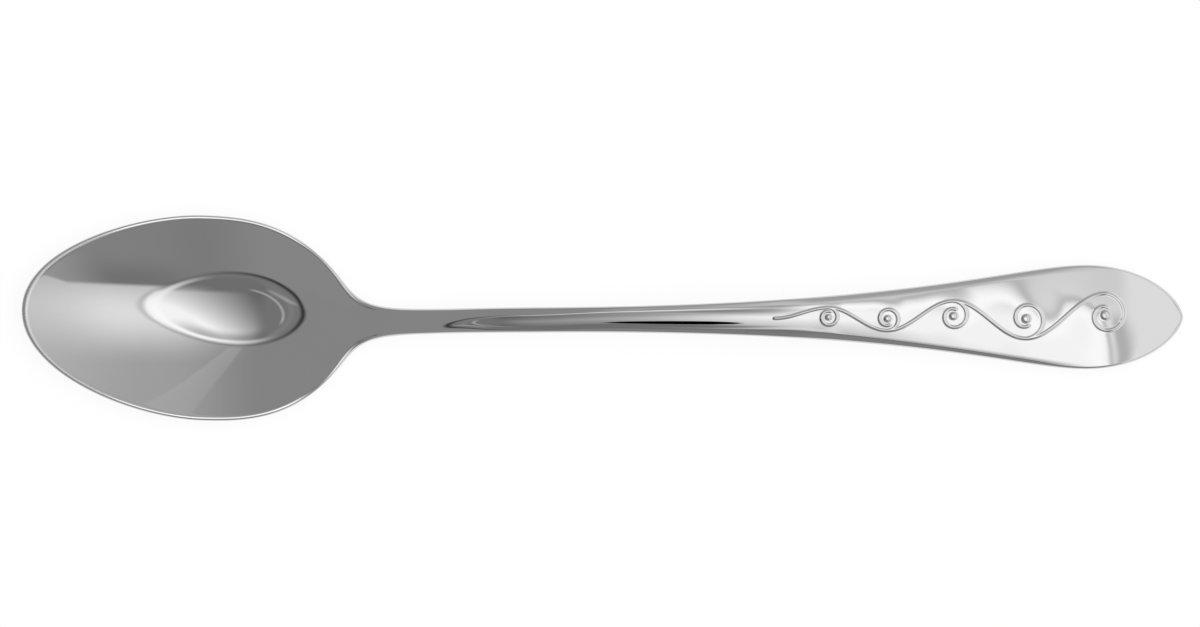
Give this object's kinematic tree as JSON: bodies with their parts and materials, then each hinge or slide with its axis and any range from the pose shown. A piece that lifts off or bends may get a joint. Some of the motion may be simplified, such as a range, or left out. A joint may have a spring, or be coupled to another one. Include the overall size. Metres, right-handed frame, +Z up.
{
  "type": "long-handled teaspoon",
  "caption": "Long-handled teaspoon with a smooth oval bowl, a slim arched stem and a broad leaf-shaped handle end with a pressed running scroll.",
  "frame": {"origin": "bottom centre of the part's box, on the table that the spoon lies on", "axes": "+X from the tip of the bowl to the tip of the handle, +Z up, out of the open side of the bowl"},
  "size_m": [0.184, 0.0325, 0.0135],
  "materials": {
    "steel": "mirror polished stainless steel with fine hairline wear"
  },
  "bodies": {
    "root": {"bowl": "steel", "neck": "steel", "stem": "steel", "handle_end": "steel"}
  },
  "joints": []
}
